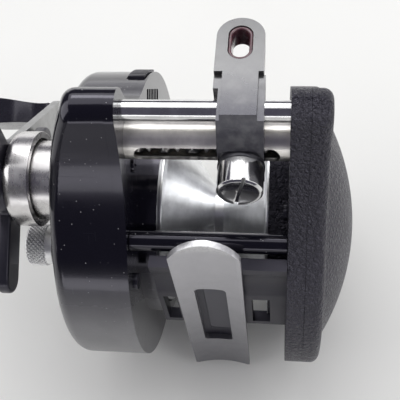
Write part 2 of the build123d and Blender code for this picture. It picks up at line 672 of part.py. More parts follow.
def handle_arm():
    """Double crank: a boss and two tapering blades."""
    boss = rod(0, 0, 6.6, -HANDLE_T, 0)
    arm = boss
    half = [(4, -5.2), (HANDLE_REACH, -3.6), (HANDLE_REACH, 3.6), (4, 5.2)]
    blade = make_face(Polyline(*half, close=True))
    for turn in (0, 180):
        side = slab(blade, -HANDLE_T, 0) + rod(HANDLE_REACH, 0, 3.6, -HANDLE_T, 0)
        arm += Rot(turn, 0, 0) * side
    arm -= rod(0, 0, DRIVE_SHAFT_R + 0.03, -9, 9)
    for end in (-1, 1):
        arm -= rod(end * HANDLE_REACH, 0, 1.53, -9, 9)
    return Pos(ARM_OUT + HANDLE_T, DRIVE_Y, DRIVE_Z) * Rot(math.degrees(HANDLE_ANGLE), 0, 0) * arm


def arm_spacer():
    """Washer between the star wheel and the crank."""
    return pipe(DRIVE_Y, DRIVE_Z, 5.0, DRIVE_SHAFT_R + 0.03, ARM_OUT + HANDLE_T, STAR_OUT - 0.15)


def handle_nut():
    hexagon = Pos(DRIVE_Y, DRIVE_Z) * RegularPolygon(4.6, 6)
    nut = slab(hexagon, ARM_OUT - 2.6, ARM_OUT)
    return nut - rod(DRIVE_Y, DRIVE_Z, DRIVE_SHAFT_R + 0.03, -70, 0)


def knob_place(end):
    return polar(HANDLE_REACH * end, HANDLE_ANGLE, DRIVE_Y, DRIVE_Z)


def knob_post(end):
    """Riveted spindle that a crank knob turns on."""
    y, z = knob_place(end)
    post = rod(y, z, 1.5, ARM_OUT - KNOB_LENGTH + 1.0, ARM_OUT + HANDLE_T)
    return post + rod(y, z, 2.4, ARM_OUT - KNOB_LENGTH + 0.2, ARM_OUT - KNOB_LENGTH + 1.0)


def two_sided(half):
    """Smooth outline through (x, width) points, mirrored about its middle line."""
    upper = Spline(*half)
    lower = Spline(*[(x, -width) for x, width in half])
    ends = [Line(point, (point[0], -point[1])) for point in (half[0], half[-1])]
    return make_face(Wire([upper.edge(), lower.edge()] + [line.edge() for line in ends]))


def handle_knob(end):
    """Flat paddle grip, thin seen from the front."""
    y, z = knob_place(end)
    start = -0.5
    finish = -KNOB_LENGTH
    widest = KNOB_WIDTH / 2
    wide = [(start, 3.0), (-4.0, 3.4), (-9.0, widest - 1), (-16.0, widest), (finish, widest - 2)]
    thin = [(start, 2.7), (-5.0, 2.6), (-12.0, KNOB_THICK / 2), (-19.0, KNOB_THICK / 2), (finish, 2.6)]
    face = two_sided(wide)
    edge = two_sided(thin)
    body = extrude(Plane.XY * face, amount=20, both=True)
    body &= extrude(Plane.XZ * edge, amount=20, both=True)
    body -= rod(0, 0, 1.5 + RUN, -60, 9)
    body -= rod(0, 0, 2.4 + RUN, finish - 9, finish + 1.3)
    return Pos(ARM_OUT, y, z) * Rot(30, 0, 0) * body


# ---- level wind ------------------------------------------------------------
def worm_gear_phase():
    first = math.atan2(IDLER_Z - DRIVE_Z, IDLER_Y - DRIVE_Y)
    second = math.atan2(WORM_Z - IDLER_Z, WORM_Y - IDLER_Y)
    idler = mating_phase(WIND_TEETH, 0, IDLER_TEETH, first)
    return idler, mating_phase(IDLER_TEETH, idler, WORM_TEETH, second)


def idler_gear():
    phase = worm_gear_phase()[0]
    x1 = WIND_X0 + WIND_GEAR_T
    return gear(IDLER_Y, IDLER_Z, IDLER_TEETH, WIND_MODULE, phase, WIND_X0, x1, 1.0 + RUN)


def worm_gear():
    phase = worm_gear_phase()[1]
    x1 = WIND_X0 + WIND_GEAR_T
    return gear(WORM_Y, WORM_Z, WORM_TEETH, WIND_MODULE, phase, WIND_X0, x1, JOURNAL_R + 0.02)


def worm_shaft():
    shaft = rod(WORM_Y, WORM_Z, WORM_R, -WORM_HALF, WORM_HALF)
    return shaft + rod(WORM_Y, WORM_Z, JOURNAL_R, WIND_X0 - 0.4, FRAME_HALF + 1.5)


def worm_bushings():
    """Plain bearings in the two ends of the level-wind tube."""
    inner = TUBE_R - TUBE_WALL - 0.02
    left = pipe(WORM_Y, WORM_Z, inner, JOURNAL_R + RUN, PLATE_OUT + 0.1, -WORM_HALF - 0.3)
    right = pipe(WORM_Y, WORM_Z, inner, JOURNAL_R + RUN, WORM_HALF + 0.3, FRAME_HALF + 1.6)
    return Compound([left, right])


def level_wind_tube():
    tube = pipe(WORM_Y, WORM_Z, TUBE_R, TUBE_R - TUBE_WALL, PLATE_OUT + 0.1, FRAME_HALF + 1.6)
    slot = RectangleRounded(2 * TUBE_SLOT_HALF, TUBE_SLOT, 1.6)
    below = extrude(Plane.XY.offset(WORM_Z - TUBE_R - 1) * (Pos(0, WORM_Y) * slot), amount=TUBE_R + 1)
    return tube - below


def guide_bar():
    return rod(BAR_Y, BAR_Z, BAR_R, PLATE_OUT + 0.1, FRAME_HALF + 1.6)


def eye_sketch(width, height):
    """Upright slot with round ends, in the finger's face."""
    return SlotOverall(height, width, rotation=90)


def along_y(sketch, y0, y1, x, z):
    """Sketch drawn in (X, Z), pushed along Y from y0 to y1."""
    face = Plane(origin=(x, y0, z), x_dir=(1, 0, 0), z_dir=(0, 1, 0)) * sketch
    return extrude(face, amount=y1 - y0, dir=(0, 1, 0))


def guide_carriage():
    """Block that rides on the tube and the bar, with the line finger on top."""
    front = BAR_Y - BAR_R - 1.1
    rear = WORM_Y + TUBE_R + GAP + 1.0
    bottom = WORM_Z - TUBE_R - GAP - 1.6
    side = [(front, -1.0), (front, BAR_Z - BAR_R - 1.2), (WORM_Y - TUBE_R - 1.0, bottom), (rear, bottom)]
    side += [(rear, WORM_Z + 1.0), (WORM_Y, WORM_Z + TUBE_R + GAP + 1.3), (front + FINGER_T, 0.6)]
    side += [(front + FINGER_T, 2.0), (front, 2.0)]
    body = slab(make_face(Polyline(*side, close=True)), -GUIDE_W / 2, GUIDE_W / 2)
    finger_low = -1.0
    height = FINGER_TOP - finger_low + FINGER_W / 2
    finger = SlotOverall(height, FINGER_W, rotation=90)
    upper = along_y(finger, front, front + FINGER_T, FINGER_X, FINGER_TOP - height / 2)
    upper -= block(-9, 9, front - 1, front + 9, -20, finger_low)
    body += upper
    for side in (-1, 1):
        inner = FINGER_X / 2 + side * NECK_W / 2
        body -= block(min(inner, side * 9), max(inner, side * 9), front - 1, front + 1.0, -20, NECK_TOP)
    body -= along_y(eye_sketch(EYE_W, EYE_H), front - 1, front + FINGER_T + 1, FINGER_X, EYE_Z)
    flange = Pos(0, WORM_Y, bottom - 0.3) * Cylinder(CAP_R + 0.15, 0.6)
    body += flange
    body = Pos(GUIDE_X, 0, 0) * body
    body -= rod(WORM_Y, WORM_Z, TUBE_R + 0.1, -30, 30)
    body -= rod(BAR_Y, BAR_Z, BAR_R + 0.08, -30, 30)
    return body - Pos(GUIDE_X, WORM_Y, -10) * Cylinder(PAWL_R + 0.15, 12)


def guide_ring():
    """Hard ceramic eye for the line."""
    front = BAR_Y - BAR_R - 1.1
    outline = eye_sketch(EYE_W - 0.02, EYE_H - 0.02)
    ring = along_y(outline, front + 0.15, front + FINGER_T - 0.15, FINGER_X, EYE_Z)
    inner = eye_sketch(EYE_W - 2 * EYE_WALL, EYE_H - 2 * EYE_WALL)
    ring -= along_y(inner, front - 1, front + 9, FINGER_X, EYE_Z)
    return Pos(GUIDE_X, 0, 0) * ring


def pawl_cap():
    """Plated screw cap that holds the pawl up against the worm."""
    top = WORM_Z - TUBE_R - GAP - 1.6 - 0.6
    cap = Pos(0, 0, (top + CAP_END) / 2) * Cylinder(CAP_R, top - CAP_END)
    lower = cap.edges().filter_by_position(Axis.Z, CAP_END - 0.01, CAP_END + 0.01)
    cap = chamfer(lower, 0.35)
    cap -= Pos(0, 0, top) * Cylinder(PAWL_R + 0.6, 2 * (top - CAP_END - 1.3))
    cap -= Pos(0, 0, CAP_END) * Rot(0, 0, 12) * Box(0.6, 12, 1.4)
    cap -= Pos(0, 0, CAP_END - 10.4) * Sphere(11.0)
    return Pos(GUIDE_X, WORM_Y, 0) * cap


def pawl():
    """Swivelling follower: a pin with a thin blade for the worm's groove."""
    top = WORM_Z - WORM_R - GAP
    low = CAP_END + 1.6
    body = Pos(0, 0, (top - 1.2 + low) / 2) * Cylinder(PAWL_R, top - 1.2 - low)
    body += Pos(0, 0, top - 0.7) * Box(2.6, 0.8, 1.4)
    return Pos(GUIDE_X, WORM_Y, 0) * body


# ---- clutch and brakes -----------------------------------------------------
def clutch_yoke():
    """Fork in the pinion's groove, guided by two pins."""
    x1 = PINION_X1 - 3.6 - 0.12
    x0 = x1 - 0.66
    (ay, az), (by, bz) = POST_SPOTS
    fork = Pos(0, 0) * Rectangle(0.1, 0.1)
    for y, z in POST_SPOTS:
        fork += Pos(y, z) * Circle(2.0)
    middle = Pos((ay + by) / 2, (az + bz) / 2)
    tilt = math.degrees(math.atan2(az - bz, ay - by))
    fork += middle * Rot(0, 0, tilt) * Rectangle(math.dist(*POST_SPOTS), 4.0)
    fork += Circle(4.6)
    fork -= Rectangle(0.1, 0.1)
    fork -= Circle(2.55 + GAP)
    plate = slab(fork, x0, x1)
    for y, z in POST_SPOTS:
        plate -= rod(y, z, 0.88 + RUN, -60, 0)
    return plate


def yoke_posts():
    posts = [rod(y, z, 0.88, COVER_IN - 0.4, -FRAME_HALF - 0.7) for y, z in POST_SPOTS]
    return Compound(posts)


def brake_knob():
    """Knurled screw on a long spindle, with a gear at its inner end."""
    start = KNOB_BASE - 0.2
    shoulder = start - BRAKE_COLLAR_LENGTH
    knob = rod(KNOB_Y, KNOB_Z, BRAKE_KNOB_R - 0.4, shoulder, start)
    grip = rod(KNOB_Y, KNOB_Z, BRAKE_KNOB_R, shoulder - BRAKE_KNOB_LENGTH, shoulder)
    ends = grip.edges().filter_by(GeomType.CIRCLE)
    knob += chamfer(ends, 0.4)
    spindle_end = -FRAME_HALF + 1.5
    knob += rod(KNOB_Y, KNOB_Z, 1.2, start - 1, spindle_end)
    return knob


def brake_knob_gear():
    phase = mating_phase(MAGNET_TEETH, 0, BRAKE_TEETH, BRAKE_ANGLE)
    x0 = -FRAME_HALF + GAP
    return gear(KNOB_Y, KNOB_Z, BRAKE_TEETH, WIND_MODULE, phase, x0, x0 + 1.0, 1.22)


def magnet_ring():
    """Geared ring around the bearing boss that carries the brake magnets."""
    x0 = -FRAME_HALF + GAP
    return gear(0, 0, MAGNET_TEETH, WIND_MODULE, 0, x0, x0 + 1.0, 5.4 + RUN)


def brake_magnets():
    magnets = []
    for place in range(6):
        y, z = polar(6.5, 2 * math.pi * place / 6)
        magnets.append(rod(y, z, 0.9, -FRAME_HALF + GAP + 1.0, -FRAME_HALF + GAP + 1.9))
    return Compound(magnets)


def release_button():
    """Ribbed thumb button that follows the rim of the handle side."""
    x0 = BUTTON_X1 - BUTTON_W
    button = pipe(0, 0, HANDLE_PLATE_R + 0.5, BUTTON_ROOT_R, x0, BUTTON_X1)
    button &= button_place(HANDLE_PLATE_R) * Box(BUTTON_W, BUTTON_L, 20)
    for rib in range(9):
        y, z = polar(HANDLE_PLATE_R + 0.5, BUTTON_ANGLE + math.radians(2.2 * (rib - 4)))
        button -= rod(y, z, 0.3, x0 - 1, BUTTON_X1 + 1)
    return button


def release_link():
    """Bent strip that carries the button's push in to the clutch yoke."""
    out = COVER_IN + 0.6
    top = BUTTON_ROOT_R - 0.1
    across = block(out, PLATE_OUT - 1.0, -2, 2, top - 1.2, top)
    down = block(out, out + 1.2, -2, 2, 7.4, top)
    y, z = polar(1.0, BUTTON_ANGLE)
    return Plane(origin=(0, 0, 0), x_dir=(1, 0, 0), z_dir=(0, y, z)) * (across + down)


PARTS = {
    "handle_side_plate": handle_side_plate,
    "palm_side_plate": palm_side_plate,
    "front_pillar": lambda: pillar(BAR_LOW_Y, BAR_LOW_Z),
    "rear_pillar": lambda: pillar(BAR_REAR_Y, BAR_REAR_Z),
    "base_plate": base_plate,
    "seat_pad": seat_pad,
    "reel_foot": reel_foot,
    "foot_screws": foot_screws,
    "plate_screws": plate_screws,
    "handle_side_cover": handle_side_cover,
    "palm_side_cover": palm_side_cover,
    "brake_plate": brake_plate,
    "handle_side_bearing": lambda: bearing(BEARING_X0),
    "palm_side_bearing": lambda: bearing(FRAME_HALF + 0.5),
    "spool": spool,
    "spool_shaft": spool_shaft,
    "brake_carrier": brake_carrier,
    "brake_blocks": brake_blocks,
    "pinion_gear": pinion_gear,
    "drive_shaft": drive_shaft,
    "main_gear": main_gear,
    "level_wind_drive_gear": level_wind_drive_gear,
    "ratchet_wheel": ratchet_wheel,
    "anti_reverse_dog": anti_reverse_dog,
    "drag_washers": drag_washers,
    "drive_bush": drive_bush,
    "drive_outer_bush": drive_outer_bush,
    "shaft_housing": shaft_housing,
    "hub_sleeve": hub_sleeve,
    "star_drag": star_drag,
    "handle_arm": handle_arm,
    "arm_spacer": arm_spacer,
    "handle_nut": handle_nut,
    "upper_knob_post": lambda: knob_post(1),
    "lower_knob_post": lambda: knob_post(-1),
    "upper_handle_knob": lambda: handle_knob(1),
    "lower_handle_knob": lambda: handle_knob(-1),
    "idler_gear": idler_gear,
    "worm_gear": worm_gear,
    "worm_shaft": worm_shaft,
    "worm_bushings": worm_bushings,
    "level_wind_tube": level_wind_tube,
    "guide_bar": guide_bar,
    "guide_carriage": guide_carriage,
    "guide_ring": guide_ring,
    "pawl_cap": pawl_cap,
    "pawl": pawl,
    "clutch_yoke": clutch_yoke,
    "yoke_posts": yoke_posts,
    "brake_knob": brake_knob,
    "brake_knob_gear": brake_knob_gear,
    "magnet_ring": magnet_ring,
    "brake_magnets": brake_magnets,
    "release_button": release_button,
    "release_link": release_link,
}

os.makedirs("parts", exist_ok=True)
for name, make in PARTS.items():
    export_step(make(), os.path.join("parts", name + ".step"))
    print(name)
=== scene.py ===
# %% [markdown]
# # A casting reel, piece by piece
# The reel comes from a packed CAD model: every node already stands in its right place, in metres.
# This lesson gives it its looks. CAD shapes that only need a finish keep their mesh. Rounded, plated
# and moulded pieces are built again here, finer than a CAD mesh, and stand for the CAD node.

# %% Load the frame
import json
import math

import bmesh
import bpy
from mathutils import Matrix, Vector


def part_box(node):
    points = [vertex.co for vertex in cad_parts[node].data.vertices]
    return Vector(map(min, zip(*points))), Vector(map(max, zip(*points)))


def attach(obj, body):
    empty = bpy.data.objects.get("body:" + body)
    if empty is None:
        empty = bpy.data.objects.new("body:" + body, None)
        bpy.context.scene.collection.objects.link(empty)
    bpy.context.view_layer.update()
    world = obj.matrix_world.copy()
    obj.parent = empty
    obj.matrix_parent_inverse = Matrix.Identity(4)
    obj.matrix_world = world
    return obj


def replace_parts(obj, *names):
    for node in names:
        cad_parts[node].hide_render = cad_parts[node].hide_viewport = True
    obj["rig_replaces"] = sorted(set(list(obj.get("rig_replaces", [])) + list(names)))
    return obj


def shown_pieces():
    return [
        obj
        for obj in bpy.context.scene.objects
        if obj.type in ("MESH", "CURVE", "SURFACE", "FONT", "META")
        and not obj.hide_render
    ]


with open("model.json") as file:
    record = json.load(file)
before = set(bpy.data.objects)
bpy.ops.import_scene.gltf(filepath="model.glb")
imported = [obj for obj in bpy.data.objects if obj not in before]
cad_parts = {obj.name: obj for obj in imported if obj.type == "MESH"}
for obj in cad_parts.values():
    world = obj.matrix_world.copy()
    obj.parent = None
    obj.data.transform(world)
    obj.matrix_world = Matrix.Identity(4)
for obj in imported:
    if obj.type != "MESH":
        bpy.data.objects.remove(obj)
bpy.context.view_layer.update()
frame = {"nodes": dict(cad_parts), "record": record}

MM = 0.001

# %% [markdown]
# ## Camera
# The reel lies on its back and the camera looks down at it, so in the model's own axes the camera is
# in front of the reel and below it. A camera looks along its local -Z with +Y up. Its rotation
# matrix is therefore its right, up and backward directions written side by side.

# %% Camera
CAMERA_AT = Vector((13.82, -137.71, -78.74)) * MM
YAW, PITCH, ROLL = -0.137, 0.534, 0.092
forward = Vector((math.sin(YAW) * math.cos(PITCH), math.cos(YAW) * math.cos(PITCH), math.sin(PITCH)))
level_right = Vector((math.cos(YAW), -math.sin(YAW), 0))
level_up = level_right.cross(forward)
right = level_right * math.cos(ROLL) + level_up * math.sin(ROLL)
up = right.cross(forward)
turn = Matrix((right, up, -forward)).transposed()
camera_data = bpy.data.cameras.new("studio_camera")
camera_data.lens, camera_data.sensor_width = 63.7, 36
camera_data.clip_start, camera_data.clip_end = 0.01, 5
camera = bpy.data.objects.new("studio_camera", camera_data)
camera.matrix_world = Matrix.Translation(CAMERA_AT) @ turn.to_4x4()
bpy.context.scene.collection.objects.link(camera)
bpy.context.scene.camera = camera
bpy.context.scene.view_settings.view_transform = "Standard"
print("camera looks along", [round(v, 3) for v in forward])

# %% [markdown]
# ## Shader maths
# A node material is a chain of sums. Written out as nodes, a sum such as 1 - mask takes four lines.
# The class below wraps a node's output so that plain arithmetic adds the Math nodes, and `Finish`
# has one method for every other kind of node.

# %% A wrapped socket
class Wire:
    """An output socket that takes part in arithmetic."""

    def __init__(self, finish, socket):
        self.finish, self.socket = finish, socket

    def _math(self, operation, first, second=None):
        inputs = {0: first} if second is None else {0: first, 1: second}
        return self.finish.node("ShaderNodeMath", {"operation": operation}, inputs)

    def __add__(self, other):
        return self._math("ADD", self, other)

    def __radd__(self, other):
        return self._math("ADD", other, self)

    def __sub__(self, other):
        return self._math("SUBTRACT", self, other)

    def __rsub__(self, other):
        return self._math("SUBTRACT", other, self)

    def __mul__(self, other):
        return self._math("MULTIPLY", self, other)

    def __rmul__(self, other):
        return self._math("MULTIPLY", other, self)

    def step(self, low, high):
        """0 below low, 1 above high, smooth between."""
        settings = {"interpolation_type": "SMOOTHSTEP"}
        inputs = {"Value": self, "From Min": low, "From Max": high}
        return self.finish.node("ShaderNodeMapRange", settings, inputs)


print("arithmetic on sockets:", [name for name in vars(Wire) if name.startswith("__r")])

# %% [markdown]
# `Finish` holds the material itself. Its methods add the textures that nearly every finish below
# needs: the place on the piece in millimetres, noise, cells, a colour mix and a bump.

# %% A finish
class Finish:
    """One material: a Principled shader and the nodes that feed it."""

    def __init__(self, name, **constants):
        self.material = bpy.data.materials.new(name)
        self.material.use_nodes = True
        self.tree = self.material.node_tree
        self.tree.nodes.clear()
        output = self.tree.nodes.new("ShaderNodeOutputMaterial")
        self.shader = self.tree.nodes.new("ShaderNodeBsdfPrincipled")
        self.tree.links.new(self.shader.outputs[0], output.inputs[0])
        self.set(**constants)

    def node(self, kind, settings=None, inputs=None, out=0):
        """Adds any node: settings first, then socket values or links."""
        made = self.tree.nodes.new(kind)
        for key, value in (settings or {}).items():
            setattr(made, key, value)
        for key, value in (inputs or {}).items():
            self._feed(made.inputs[key], value)
        return Wire(self, made.outputs[out])

    def _feed(self, socket, value):
        if isinstance(value, Wire):
            self.tree.links.new(value.socket, socket)
        else:
            socket.default_value = value

    def set(self, **sockets):
        """Sets or links the shader's sockets; underscores stand for spaces."""
        for key, value in sockets.items():
            self._feed(self.shader.inputs[key.replace("_", " ")], value)

    def place(self):
        """Object position in millimetres."""
        coord = self.node("ShaderNodeTexCoord", out="Object")
        return self.node("ShaderNodeVectorMath", {"operation": "SCALE"}, {0: coord, "Scale": 1 / MM})

    def stretched(self, scale, turned=(0, 0, 0)):
        """Object position in millimetres, scaled per axis and turned."""
        inputs = {"Vector": self.place(), "Scale": scale, "Rotation": turned}
        return self.node("ShaderNodeMapping", {}, inputs)

    def axes(self):
        """The position's X, Y and Z on their own."""
        split = self.node("ShaderNodeSeparateXYZ", {}, {0: self.place()})
        return [Wire(self, split.socket.node.outputs[i]) for i in range(3)]

    def noise(self, scale, detail=3.0, roughness=0.5, at=None, distortion=0.0):
        inputs = {"Vector": at or self.place(), "Scale": scale, "Detail": detail}
        inputs |= {"Roughness": roughness, "Distortion": distortion}
        return self.node("ShaderNodeTexNoise", {}, inputs)

    def cells(self, scale, feature="F1", at=None, randomness=1.0):
        inputs = {"Vector": at or self.place(), "Scale": scale, "Randomness": randomness}
        return self.node("ShaderNodeTexVoronoi", {"feature": feature}, inputs)

    def blend(self, amount, first, second):
        """Colour mix."""
        inputs = {"Factor": amount, "A": first, "B": second}
        made = self.node("ShaderNodeMix", {"data_type": "RGBA"})
        node = made.socket.node
        slots = {"Factor": node.inputs[0], "A": node.inputs[6], "B": node.inputs[7]}
        for key, value in inputs.items():
            self._feed(slots[key], value)
        return Wire(self, node.outputs[2])

    def bump(self, height, depth, strength=1.0):
        """Depth is in millimetres."""
        inputs = {"Height": height, "Distance": depth * MM, "Strength": strength}
        return self.node("ShaderNodeBump", {}, inputs)


def shade(value, tint=(1.0, 1.0, 1.0)):
    """A grey with a slight tint, as a colour."""
    return (value * tint[0], value * tint[1], value * tint[2], 1.0)


print("shader helpers ready")

# %% [markdown]
# ## Gloss black lacquer
# The handle-side cover is lacquered and polished, then handled: it carries dust, hairline scratches
# and a slightly cloudy gloss. Scratches are a noise stretched thin, mostly one way, and kept to
# patches. Dust is the core of a few cells. The flank that faces down and back is painted a lighter
# grey, a painted reflection of the pale table, and its gloss is duller; position along a slanting
# direction makes its mask.

# %% Gloss black
def scratches(finish, scale=0.5, amount=0.66):
    """Thin hairlines, 0 or 1: mostly along one direction, in patches."""
    down = finish.stretched((scale * 0.1, scale * 9, scale * 0.35), (0.25, 0.1, 0.15))
    over = finish.stretched((scale * 7, scale * 0.15, scale * 0.2), (0.9, 0.2, 0.8))
    first, second = finish.noise(1.0, 1.0, at=down), finish.noise(1.0, 1.0, at=over)
    here = finish.noise(scale * 0.25, 2.0).step(0.48, 0.6)
    return (first.step(amount, amount + 0.04) + second.step(amount + 0.05, amount + 0.08)) * here


COOL = (0.86, 0.83, 1.0, 1.0)  # the black pieces reflect slightly blue
gloss = Finish("gloss_black_lacquer", Specular_IOR_Level=0.5, Specular_Tint=COOL)
gloss.set(Coat_Weight=0.25, Coat_Roughness=0.06)
cloud = gloss.noise(0.12, 4.0, 0.6)
lines = scratches(gloss)
specks = 1 - gloss.cells(0.9).step(0.06, 0.12)
rare = gloss.noise(0.4, 1.0).step(0.46, 0.56)
dust = specks * rare
_, gloss_y, gloss_z = gloss.axes()
# Painted reflection: a lighter grey is painted on the flank that faces down and back, patchy with the cloud
# noise, and the gloss there is duller.
painted_table_reflection = (gloss_y * 0.5 - gloss_z * 0.87).step(9, 28)
lacquer = gloss.blend(painted_table_reflection * (0.6 + cloud * 0.6), shade(0.0035, (1.0, 0.95, 1.9)), shade(0.2))
gloss.set(Base_Color=gloss.blend(dust, lacquer, shade(0.3)))
gloss.set(Roughness=0.11 + cloud * 0.09 + lines * 0.14 + dust * 0.5 + painted_table_reflection * 0.25)
gloss.set(Normal=gloss.bump(lines * -0.3 + dust + gloss.noise(0.5, 2.0) * 0.4, 0.015, 0.4))
print("gloss black:", len(gloss.tree.nodes), "nodes")

# %% [markdown]
# ## Leather-grained black
# The palm side is moulded with a fine leather grain. A Voronoi texture's distance to the nearest
# cell edge gives pebbles with creases between them. A second, finer one breaks them up. The grain is
# slightly polished where it stands proud, so the height also drives roughness.

# %% Leather grain
grain = Finish("leather_grain_black", Specular_IOR_Level=0.7, Specular_Tint=COOL)
warp = grain.noise(0.8, 3.0, 0.6)
moved = grain.node("ShaderNodeVectorMath", {"operation": "MULTIPLY_ADD"},
                   {0: Wire(grain, warp.socket.node.outputs[1]), 1: (1.3, 1.3, 1.3), 2: grain.place()})
pebble = grain.cells(0.85, "DISTANCE_TO_EDGE", moved).step(0.0, 0.34)
small = grain.cells(2.1, "DISTANCE_TO_EDGE", moved).step(0.0, 0.3)
height = pebble * 0.7 + small * 0.3
tone = grain.noise(0.1, 4.0, 0.6)
# Painted shade: the creases between the pebbles are painted darker than the pebble tops.
creases, tops = shade(0.004, (1.0, 0.95, 1.5)), shade(0.016, (1.0, 0.97, 1.35))
grain.set(Base_Color=grain.blend(height * 0.7 + tone * 0.3, creases, tops))
grain.set(Roughness=0.36 - height * 0.14 + tone * 0.08)
grain.set(Normal=grain.bump(height, 0.42, 1.0))
print("leather grain:", len(grain.tree.nodes), "nodes")

# %% [markdown]
# ## Plated and turned metals
# Chrome, nickel and polished aluminium differ in colour and in how blurred their reflections are.
# Turned parts also carry fine rings, which here come from a noise that only changes along X and
# with distance from the axis. One function makes them all.

# %% Metals
def metal(name, colour, roughness, rings=0.0, ring_scale=6.0, marks=0.06, brushed=None, cloud_scale=0.3):
    """A bare or plated metal: base colour, blur, turning rings, wear marks."""
    made = Finish(name, Metallic=1.0)
    patch = made.noise(cloud_scale, 4.0, 0.6)
    hair = scratches(made, 0.8, 0.64)
    dark = tuple(c * 0.82 for c in colour[:3]) + (1.0,)
    made.set(Base_Color=made.blend(patch.step(0.35, 0.7), dark, colour))
    rough = roughness + patch * marks + hair * marks
    relief = patch * 0.15 - hair * 0.2
    if rings:
        band = made.noise(1.0, 3.0, 0.7, at=made.stretched((ring_scale, 0.02, 0.02)))
        rough = rough + band * 0.06
        relief = relief + band * rings
    if brushed:
        stroke = made.noise(1.0, 3.0, 0.7, at=made.stretched(*brushed))
        rough = rough + stroke * 0.1
        relief = relief + stroke * 0.5
    made.set(Roughness=rough, Normal=made.bump(relief, 0.02, 0.4))
    return made


WARM, WARMER, COLD = (1.0, 0.98, 0.97), (1.0, 0.97, 0.92), (0.99, 1.0, 1.01)
chrome = metal("bright_chrome", shade(0.78), 0.07, rings=0.12, ring_scale=3.0)
nickel = metal("warm_nickel", shade(0.95, WARMER), 0.28, rings=0.4, ring_scale=5.0, marks=0.12)
satin_nickel = metal("satin_nickel", shade(0.75, WARM), 0.17, rings=0.6, ring_scale=2.0, marks=0.16)
polished = metal("turned_aluminium", shade(0.97, COLD), 0.24, rings=2.0, ring_scale=5.0, marks=0.1)
steel = metal("turned_steel", shade(0.5), 0.24, rings=0.5)
brass = metal("cut_brass", (0.62, 0.45, 0.2, 1.0), 0.26, rings=0.3)
silver = metal("knurled_silver", shade(0.95), 0.4, marks=0.14)
satin = metal("satin_grey_arm", shade(0.46), 0.33, brushed=((1.2, 0.25, 9.0), (0.97, 0.0, 0.0)))
print("metals ready")

# %% [markdown]
# ## Gunmetal foot
# The foot is a pressed strip, plated a satin gunmetal grey. Its front edge and corners are worn
# bright by the rod's seat. Position along the foot makes a mask, a noise breaks it up, and the
# worn areas are lighter and smoother. The grey is also painted lighter at the front and darker at
# the rear, a painted reflection of the pale table.

# %% Gunmetal
foot_low, foot_high = [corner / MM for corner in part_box("reel_foot")]
gunmetal = Finish("gunmetal_satin", Metallic=0.9)
along_y = gunmetal.axes()[1]
patina = gunmetal.noise(0.25, 5.0, 0.65)
near_front = 1 - along_y.step(foot_low.y, foot_low.y + 3.2)
chips = gunmetal.noise(1.6, 4.0, 0.7).step(0.42, 0.58)
worn = near_front * (0.35 + chips * 0.65)
# Painted reflection: the foot's grey is painted light at the front end and fades to dark at the rear.
painted_front_light = along_y.step(foot_low.y, foot_high.y)
lit_front_grey, shaded_rear_grey = shade(0.55, (1.0, 0.99, 1.03)), shade(0.22, (1.0, 0.99, 1.06))
base = gunmetal.blend(painted_front_light * 0.75 + patina * 0.25, lit_front_grey, shaded_rear_grey)
gunmetal.set(Base_Color=gunmetal.blend(worn, base, shade(0.7)))
hair = scratches(gunmetal, 0.7, 0.62)
fine = gunmetal.noise(6.0, 2.0)
gunmetal.set(Roughness=0.36 + patina * 0.12 - worn * 0.12 + hair * 0.08)
gunmetal.set(Normal=gunmetal.bump(fine * 0.4 + patina * 0.3 - hair * 0.3, 0.03, 0.45))

carriage_grey = Finish("gunmetal_gloss", Metallic=0.75, Coat_Weight=0.35, Coat_Roughness=0.08)
# Painted reflection: the guide carriage is painted lighter towards the top (+Z) and darker below.
painted_top_reflection = carriage_grey.axes()[2].step(-9.0, 7.0)
patina = carriage_grey.noise(0.4, 4.0, 0.6)
painted_reflection_grey = carriage_grey.blend(painted_top_reflection, shade(0.03, (1.0, 0.98, 1.3)), shade(0.16, (1.0, 1.0, 1.01)))
carriage_grey.set(Base_Color=carriage_grey.blend(patina.step(0.4, 0.75) * 0.2, painted_reflection_grey, shade(0.24)))
carriage_grey.set(Roughness=0.22 + patina * 0.14 + scratches(carriage_grey, 0.9, 0.63) * 0.1)
carriage_grey.set(Normal=carriage_grey.bump(patina, 0.03, 0.3))
print("gunmetals ready")

# %% [markdown]
# ## Mouldings and ceramic
# Black mouldings look alike at a distance but not close up: the knobs are smooth and slightly
# orange-peeled, the base is matt, the star wheel is tumbled to a soft sheen. The eye is a dark
# glazed ruby ceramic with a little light scattered inside it.

# %% Mouldings
def moulding(name, value, roughness, peel=0.3, coat=0.0, tint=(1.0, 0.96, 1.4)):
    """Dark moulded plastic with an orange-peel surface and scuffs."""
    made = Finish(name, Specular_IOR_Level=0.5, Specular_Tint=COOL)
    made.set(Coat_Weight=coat, Coat_Roughness=0.12)
    patch = made.noise(0.2, 4.0, 0.6)
    skin = made.noise(2.4, 2.0, 0.4)
    scuff = scratches(made, 0.6, 0.64)
    deep, worn_up = shade(value, tint), shade(value * 2.1 + 0.01, tint)
    made.set(Base_Color=made.blend(patch * 0.6 + scuff * 0.3, deep, worn_up))
    made.set(Roughness=roughness + patch * 0.1 + scuff * 0.12)
    made.set(Normal=made.bump(skin * peel + scuff * -0.2, 0.03, 0.5))
    return made


satin_black = moulding("star_satin_black", 0.008, 0.28, coat=0.2)
knob_black = moulding("knob_black", 0.007, 0.22, peel=0.5, coat=0.3)
base_black = moulding("base_matt_black", 0.006, 0.36, peel=0.7)
pad_dark = moulding("inlay_dark", 0.05, 0.4, peel=0.4, tint=(1.0, 1.0, 1.1))
fibre = moulding("pressed_fibre", 0.09, 0.7, peel=1.0, tint=(1.0, 0.6, 0.35))

